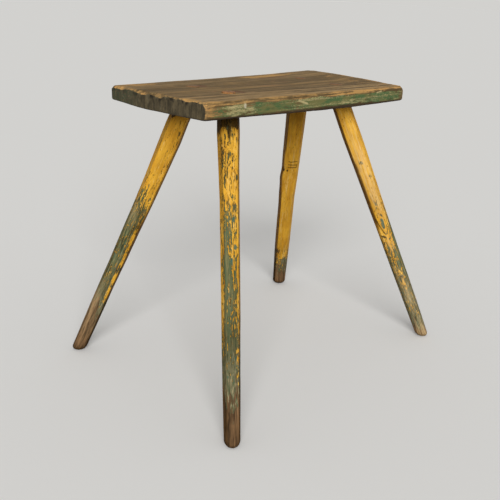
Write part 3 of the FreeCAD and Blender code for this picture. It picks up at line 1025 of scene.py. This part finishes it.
# How whole the green is along the front edge, by place along it in millimetres, and at the back
FRONT_PAINT = (
    (-225, 0.1), (-213, 0.36), (-190, 0.6), (-165, 0.6), (-140, 0.62), (-122, 0.78), (-95, 0.74),
    (-60, 0.66), (-30, 0.7), (10, 0.72), (50, 0.82), (80, 0.66), (110, 0.62), (135, 0.72), (175, 0.74),
    (205, 0.64), (225, 0.1),
)
BACK_PAINT = 0.66
# How far under the top the arris of a painted edge is rubbed, how far that wanders, how it fades and
# how bare it is
TOP_BAND = 4.6 * MM
TOP_BAND_WANDER = 2.2 * MM
TOP_BAND_FADE = 2 * MM
TOP_BAND_BARE = 0.74
# Depths under the top between which the low arris turns dark, how far that wanders, how dark it is
# made, as dirt and as painted shade under the down-turned arris, and how much of the paint it has lost
LOW_LINE = (19.8 * MM, 21.6 * MM)
LOW_LINE_WANDER = 0.8 * MM
LOW_LINE_DARKNESS = 0.85
LOW_LINE_WEAR = 0.5
# How bare the arrises of the corners are at either end
LEFT_CORNER_BARE = 0.35
RIGHT_CORNER_BARE = 1.1
# How bare the top is along its sides, how far inside them that ends and is whole, and how it wanders
RIM_BARE = 0.5
BARE_RIM = (12 * MM, 2 * MM)
BARE_RIM_WANDER = 6 * MM
# The same for the dirt and painted shade along the sides of the underside
DARK_UNDER_RIM = (24 * MM, 3 * MM)
DARK_UNDER_RIM_WANDER = 8 * MM
# Depths past the splinters at which the left end's grime begins and is whole, and at which the
# painted shade of the dark notches under the ends' broken top arris stops and is whole
GRIME_DEPTH = (-0.5 * MM, 1.5 * MM)
NOTCH_DEPTH = (7 * MM, 2 * MM)
# Places across the plank at which the right end's grime, the ends' moss and the painted light on the
# front right corner begin and are whole, and how strong the grime and that painted light are
RIGHT_GRIME = 0.9
RIGHT_GRIME_FROM = (-97 * MM, -82 * MM)
MOSS_FROM = (20 * MM, 80 * MM)
CORNER_PAINTED_LIGHT = 0.5
CORNER_PAINTED_LIGHT_FROM = (-92 * MM, -100 * MM)
# Cream flecks on the front edge, at its left, at its right and low down: how strong they are, and
# where along it and under the top they begin and end
LEFT_FLECKS = 0.52
LEFT_FLECKS_FROM = (-208 * MM, -176 * MM)
LEFT_FLECKS_TO = (-112 * MM, -138 * MM)
RIGHT_FLECKS = 0.3
RIGHT_FLECKS_FROM = (105 * MM, 150 * MM)
LOW_FLECKS = 0.48
LOW_FLECKS_FROM = (0, 60 * MM)
LOW_FLECKS_TO = (170 * MM, 140 * MM)
LOW_FLECKS_UNDER = (11 * MM, 16 * MM)
# Spots on the plank: two places, two half sizes in millimetres, and strength. On the top the places
# are along and across it, and on the edges along them and under the top.
RUBBED_TOP = (
    (80, 86, 62, 10, 1.3), (-185, 92, 45, 14, 0.6), (-205, -80, 30, 24, 0.4), (150, -92, 70, 12, 0.35),
    (190, 10, 40, 60, 0.3), (-60, -98, 60, 8, 0.25), (40, 60, 80, 18, 0.15), (165, -40, 40, 26, 0.2),
    (-124, -44, 15, 20, 0.6),
)
TOP_KNOTS = (
    (-105, 40, 9, 12, 1.1), (85, 70, 50, 3.5, 1), (172, -30, 22, 9, 0.45), (20, 92, 40, 3, 0.5),
    (-98, -36, 7, 14, 1.3), (-60, 62, 38, 3, 0.4), (160, 30, 26, 4, 0.4),
)
FRONT_BARE = ((-212, 13, 11, 8, 0.5),)
FRONT_CREAM = ((-152, 8, 5, 7, 0.85), (82, 15, 11, 3, 0.6))
LEFT_END_CREAM = ((-8, 7, 2.2, 2.6, 1),)
# How light the top is from its front to its back, by place across it in millimetres
TOP_LIGHT = (
    (-107, 0), (-103, 0.3), (-97, 0.95), (-84, 0.9), (-62, 0.62), (-42, 0.52), (-24, 0.04), (44, 0),
    (58, 0.4), (76, 0.38), (107, 0.25),
)


def on_front_edge(along, under):
    """A point of the front edge, from its place in millimetres along it and under the top."""
    return (SEAT_MIDDLE.x + along * MM, seat_low.y, seat_high.z - under * MM)


def seat_finish():
    seat = Finish("worn_plank")
    place = seat.in_scene()
    fibre = seat.mottle(place, (0.025, 1, 1), 1200, 4)
    grain = seat.mottle(place, (0.016, 1, 1), 430, 4)
    band = seat.mottle(place, (0.025, 1, 1), 110, 4)
    patch = seat.mottle(place, (0.35, 1, 1), 40)
    blotch = seat.mottle(place, (0.3, 1, 1), 110, 4, 0.6)
    flake = seat.mottle(place, (0.16, 1, 1), 330, 5, 0.62)
    chip = seat.mottle(place, (0.4, 1, 1), 900, 3, 0.6)
    waves = seat.mottle(place, (0.12, 1, 1), 14, 2)
    rough = seat.mottle(place, (1, 0.06, 1), 240)
    saw = seat.mottle(place, (1, 1, 0.2), 260, 5, 0.62)
    slow = seat.mottle(place, (1, 1, 0.7), 90)
    broken = (flake - 0.5) * 1.5 + (chip - 0.5) * 0.8
    from_pith = seat.vectors("DISTANCE", seat.vectors("MULTIPLY", place, (0, 1, 1)), PITH, "Value")
    rings = seat.sine((from_pith + waves * RING_WAVES) * (math.tau / RING_WIDTH))

    top = seat.lay(SEAT_DARK, SEAT_BROWN, fibre * 0.25 + grain * 0.4 + band * 0.35, 0.4, 0.6)
    top = seat.lay(top, SEAT_GOLD, band * 0.5 + patch * 0.5, 0.5, 0.7, 0.7)
    top = seat.lay(top, SEAT_RED, blotch * 0.7 + grain * 0.3, 0.52, 0.68, 0.5)
    top = seat.lay(top, SEAT_GOLD, flake * 0.6 + fibre * 0.4, 0.54, 0.66, 0.6)
    top = seat.lay(top, SEAT_DARK, flake * 0.5 + grain * 0.5, 0.48, 0.36, 0.5)
    top = seat.lay(top, SEAT_DARK, rings + (fibre - 0.5) * 2, 0, 1.2, 0.5)
    light = band * 0.4 + grain * 0.3 + blotch * 0.3
    top = seat.lay(top, SEAT_PALE, light, 0.38, 0.58, seat.kept("light"))
    bare = seat.lay(SEAT_GOLD, SEAT_TAN, grain, 0.4, 0.6)
    below = seat.lay(UNDER_DARK, UNDER_BROWN, grain * 0.5 + rough * 0.5, 0.38, 0.62)
    end = seat.lay(END_BLACK, END_GRIME, saw * 0.8 + chip * 0.2, 0.36, 0.62)
    end = seat.lay(end, END_BLACK, slow * 0.6 + saw * 0.4, 0.48, 0.6, 0.55)
    end = seat.lay(end, END_PALE, slow * 0.5 + saw * 0.5, 0.46, 0.36, 0.4)
    # Painted shade in the notches just under the ends' broken top arris
    end = seat.lay(end, END_NOTCH_SHADE, saw * 0.4 + slow * 0.6, 0.48, 0.6, seat.kept("notch_shade"))
    end = seat.lay(end, END_MOSS, flake, 0.4, 0.6, seat.kept("moss"))
    paint = seat.lay(EDGE_GREEN, EDGE_OLIVE, flake * 0.4 + blotch * 0.6, 0.42, 0.58)
    paint = seat.lay(paint, EDGE_CREAM, grain * 0.6 + chip * 0.4, 0.52, 0.64, 0.6)

    rubbed = broken * 0.6 + (blotch - 0.5) * 1.6 + (grain - 0.5) * 0.8
    colour = seat.lay(top, bare, seat.kept("bare") + rubbed, 0.3, 0.8)
    colour = seat.lay(colour, KNOT_BROWN, seat.kept("knot") + (flake - 0.5) * 1.4, 0.35, 0.8, 0.8)
    painted = seat.rise(seat.kept("paint") + broken, 0.44, 0.56)
    colour = seat.mix(painted, colour, paint)
    for first, last in SCRATCHES:
        away = seat.distance_to_line(place, on_front_edge(*first), on_front_edge(*last))
        away += (flake - 0.5) * SCRATCH_RAGGEDNESS
        colour = seat.lay(colour, EDGE_CREAM, away, *SCRATCH_EDGE, 0.75)
    # Pale paint flecks, and on the front right corner painted light
    cream_and_light = seat.lay(EDGE_CREAM, CREAM_WHITE, seat.kept("cream_and_light"), 0.55, 0.8)
    colour = seat.lay(colour, cream_and_light, seat.kept("cream_and_light") + broken, 0.3, 0.9, 0.8)
    colour = seat.mix(seat.kept("underneath"), colour, below)
    # Dirt and painted shade under the plank's rims and along the dark low line of the sides
    colour = seat.mix(seat.kept("low_dirt_and_shade"), colour, SEAT_UNDER)
    grime = seat.kept("grime") + (chip - 0.5) * 0.6 + (flake - 0.5) * 0.9
    colour = seat.lay(colour, end, grime, 0.42, 0.58)
    cracks = seat.rise(fibre * 0.5 + grain * 0.5, 0.6, 0.68)
    colour = seat.mix(cracks * 0.6, colour, END_BLACK)

    roughness = 0.82 - painted * 0.14 + (fibre - 0.5) * 0.2
    height = fibre * 0.4 + grain * 0.6 + painted * 0.4 - cracks * 0.8 + rough * seat.kept("underneath")
    return seat.surface(colour, roughness, height, depth=0.5 * MM, specular=0.2)


def spots_at(spots, first, second):
    """The strength of the listed spots at a place on the plank."""
    return sum(
        strength * math.exp(-((first / MM - middle) / half) ** 2 - ((second / MM - across) / wide) ** 2)
        for middle, across, half, wide, strength in spots
    )


class SeatPlace:
    """A point of the plank's surface, and how strongly each coat and mark is found there."""

    def __init__(self, vert):
        normal = vert.normal
        self.x, self.y, z = vert.co - SEAT_MIDDLE
        self.inset = min(SEAT_HALF.x - abs(self.x), SEAT_HALF.y - abs(self.y))
        self.under = SEAT_HALF.z + seat_relief(self.x, self.y) - z
        self.past_break = self.under - broken_end(self.y)
        # How surely the surface faces each way here
        self.long_edge = smooth(0.45, 0.75, abs(normal.y))
        self.left_end = smooth(0.5, 0.8, -normal.x)
        self.right_end = smooth(0.75, 0.95, normal.x)
        self.right_turn = smooth(0.45, 0.75, normal.x)
        self.side = 1 - smooth(0.3, 0.7, abs(normal.z))
        self.below = smooth(0.3, 0.6, -normal.z)
        self.corner = smooth(0.25, 0.5, abs(normal.x)) * smooth(0.25, 0.5, abs(normal.y))
        # How far this lies in the rubbed band at the top of a side, or in the dark line at its foot
        worn = TOP_BAND + TOP_BAND_WANDER * wander(21, self.x * 26)
        self.top_band = 1 - smooth(worn - TOP_BAND_FADE, worn + TOP_BAND_FADE, self.under)
        uneven = LOW_LINE_WANDER * wander(23, self.x * 60, self.y * 60)
        self.low_line = smooth(*LOW_LINE, self.under + uneven)

    def bare(self):
        uneven = BARE_RIM_WANDER * wander(22, self.x * 24, self.y * 24)
        along_sides = RIM_BARE * smooth(*BARE_RIM, self.inset + uneven)
        on_top = along_sides + spots_at(RUBBED_TOP, self.x, self.y)
        at_corner = self.corner * (RIGHT_CORNER_BARE if self.x > 0 else LEFT_CORNER_BARE)
        on_front = spots_at(FRONT_BARE, self.x, self.under) if self.y < 0 else 0
        on_side = max(TOP_BAND_BARE * self.top_band, at_corner, on_front)
        return max(on_top * (1 - self.side), on_side * self.side)

    def paint(self):
        whole = between_marks(FRONT_PAINT, self.x / MM) if self.y < 0 else BACK_PAINT
        left = (1 - self.top_band) * (1 - LOW_LINE_WEAR * self.low_line) * (1 - self.corner)
        return self.long_edge * whole * left

    def grime(self):
        at_left = self.left_end * smooth(*GRIME_DEPTH, self.past_break)
        at_right = RIGHT_GRIME * self.right_end * smooth(*RIGHT_GRIME_FROM, self.y)
        return max(at_left, at_right)

    # Painted shade just under the broken top arris
    def notch_shade(self):
        return smooth(*NOTCH_DEPTH, self.past_break)

    def moss(self):
        return smooth(*MOSS_FROM, self.y)

    def flecks(self):
        at_left = LEFT_FLECKS * smooth(*LEFT_FLECKS_FROM, self.x) * smooth(*LEFT_FLECKS_TO, self.x)
        at_right = RIGHT_FLECKS * smooth(*RIGHT_FLECKS_FROM, self.x)
        low = LOW_FLECKS * smooth(*LOW_FLECKS_FROM, self.x) * smooth(*LOW_FLECKS_TO, self.x)
        low *= smooth(*LOW_FLECKS_UNDER, self.under)
        return max(at_left, at_right, low) * (1 - self.top_band) * (1 - self.low_line)

    def cream_and_light(self):
        on_front = max(spots_at(FRONT_CREAM, self.x, self.under), self.flecks()) if self.y < 0 else 0
        on_end = spots_at(LEFT_END_CREAM, self.y, self.under)
        # The front right corner is made pale as painted light, for the reflection it catches
        at_corner = CORNER_PAINTED_LIGHT * self.side * self.right_turn * smooth(*CORNER_PAINTED_LIGHT_FROM, self.y)
        return max(on_front * self.long_edge, on_end * self.left_end, at_corner)

    def knot(self):
        return spots_at(TOP_KNOTS, self.x, self.y) * (1 - self.side)

    def light(self):
        return between_marks(TOP_LIGHT, self.y / MM)

    def underneath(self):
        return self.below

    # Dirt and painted shade under the down-turned arrises and the underside's rims
    def low_dirt_and_shade(self):
        uneven = DARK_UNDER_RIM_WANDER * wander(24, self.x * 30, self.y * 30)
        rim = self.below * smooth(*DARK_UNDER_RIM, self.inset + uneven)
        return max(rim, LOW_LINE_DARKNESS * self.low_line * self.side)


def paint_seat(piece):
    """Keeps on the plank's mesh where it is painted, grimy, stained or rubbed bare, and where shade and
    light are painted on it.
    """
    layers = (
        "bare", "paint", "grime", "notch_shade", "moss", "cream_and_light", "knot", "light", "underneath", "low_dirt_and_shade",
    )
    kept = {name: [] for name in layers}
    for vert in piece.data.vertices:
        place = SeatPlace(vert)
        for name in layers:
            kept[name].append(getattr(place, name)())
    for name, values in kept.items():
        store(piece, name, values)


# The wedges' finish

WEDGE_LIGHT = paint_tin(134, 96, 62)
WEDGE_DARK = paint_tin(88, 60, 40)


def wedge_finish():
    wedge = Finish("wedge_end_grain")
    pores = wedge.mottle(wedge.in_scene(), (1, 1, 1), 1500)
    lines = wedge.mottle(wedge.in_scene(), (1, 0.15, 1), 900)
    colour = wedge.lay(WEDGE_DARK, WEDGE_LIGHT, pores * 0.5 + lines * 0.5, 0.38, 0.62)
    return wedge.surface(colour, 0.75 + (pores - 0.5) * 0.2, pores, depth=0.2 * MM)


# Putting the stool together

seat_piece = make_seat()
paint_seat(seat_piece)
seat_piece.data.materials.clear()
seat_piece.data.materials.append(seat_finish())
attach(seat_piece, "root")
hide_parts("seat_board")

leg_paint = leg_finish()
for number, leg_name in enumerate(LEGS):
    leg_piece = make_leg(leg_name, 10 * number + 1)
    paint_leg(leg_piece, leg_name, number)
    leg_piece.data.materials.clear()
    leg_piece.data.materials.append(leg_paint)
    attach(leg_piece, "root")
    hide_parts(f"leg_{leg_name}")

wedge_grain = wedge_finish()
for leg_name in LEGS:
    wedge_piece = make_wedge(leg_name)
    wedge_piece.data.materials.append(wedge_grain)
    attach(wedge_piece, "root")
    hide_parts(f"wedge_{leg_name}")


# The stage: a pale floor, one broad soft light from the front, a plain sky and the photo's camera

FLOOR_REACH = 40
FLOOR_PALE = paint_tin(236, 235, 232)
FLOOR_BOUNCE = paint_tin(160, 156, 150)
SKY_PALE = paint_tin(210, 209, 206)
SKY_LIGHT = 0.4
LAMP_COMPASS = math.radians(228)
LAMP_ELEVATION = math.radians(26)
LAMP_BREADTH = math.radians(36)
LAMP_STRENGTH = 2.64
CAMERA_EYE = Vector((-0.847, -0.8065, 0.6047))
CAMERA_AZIMUTH = math.radians(-45)
CAMERA_ELEVATION = math.radians(20)
CAMERA_ROLL = math.radians(2.59)
# The lens and the width of its sensor, in millimetres
CAMERA_LENS = 51.84
CAMERA_SENSOR = 36


def seen_directly(finish):
    """1 where a surface is looked at, straight or in a reflection, and 0 where it only gives light."""
    rays = [
        finish.node("ShaderNodeLightPath", output=name)
        for name in ("Is Camera Ray", "Is Glossy Ray", "Is Transmission Ray")
    ]
    return finish.rise(rays[0] + rays[1] + rays[2], 0, 1)


def make_floor():
    bm = bmesh.new()
    bmesh.ops.create_grid(bm, x_segments=1, y_segments=1, size=FLOOR_REACH)
    floor = as_piece(bm, "floor")
    plain = Finish("pale_floor")
    colour = plain.mix(seen_directly(plain), FLOOR_BOUNCE, FLOOR_PALE)
    shader = plain.node("ShaderNodeBsdfDiffuse", None, {"Color": colour})
    plain.node("ShaderNodeOutputMaterial", None, {"Surface": shader})
    floor.data.materials.append(plain.material)


class Sky(Finish):
    """The world in the making."""

    def __init__(self, name):
        world = bpy.data.worlds.new(name)
        world.use_nodes = True
        self.tree = world.node_tree
        self.tree.nodes.clear()
        bpy.context.scene.world = world


def make_sky():
    sky = Sky("soft_sky")
    light = (SKY_LIGHT, SKY_LIGHT, SKY_LIGHT, 1)
    colour = sky.mix(seen_directly(sky), light, SKY_PALE)
    shader = sky.node("ShaderNodeBackground", None, {"Color": colour, "Strength": 1})
    sky.node("ShaderNodeOutputWorld", None, {"Surface": shader})


def make_lamp():
    data = bpy.data.lights.new("front_lamp", "SUN")
    data.energy = LAMP_STRENGTH
    data.angle = LAMP_BREADTH
    lamp = bpy.data.objects.new("front_lamp", data)
    aim = Vector((math.cos(LAMP_COMPASS), math.sin(LAMP_COMPASS), math.tan(LAMP_ELEVATION)))
    lamp.rotation_euler = aim.to_track_quat("Z", "Y").to_euler()
    bpy.context.scene.collection.objects.link(lamp)


def make_camera():
    data = bpy.data.cameras.new("photo_view")
    data.lens = CAMERA_LENS
    data.sensor_width = CAMERA_SENSOR
    camera = bpy.data.objects.new("photo_view", data)
    right = Vector((math.cos(CAMERA_AZIMUTH), math.sin(CAMERA_AZIMUTH), 0))
    away = Vector((math.sin(CAMERA_AZIMUTH), -math.cos(CAMERA_AZIMUTH), math.tan(CAMERA_ELEVATION)))
    away.normalize()
    level = Matrix((right, away.cross(right), away)).transposed()
    camera.matrix_world = (level @ Matrix.Rotation(CAMERA_ROLL, 3, "Z")).to_4x4()
    camera.location = CAMERA_EYE
    bpy.context.scene.collection.objects.link(camera)
    bpy.context.scene.camera = camera


make_floor()
make_sky()
make_lamp()
make_camera()
bpy.context.scene.view_settings.view_transform = "Standard"
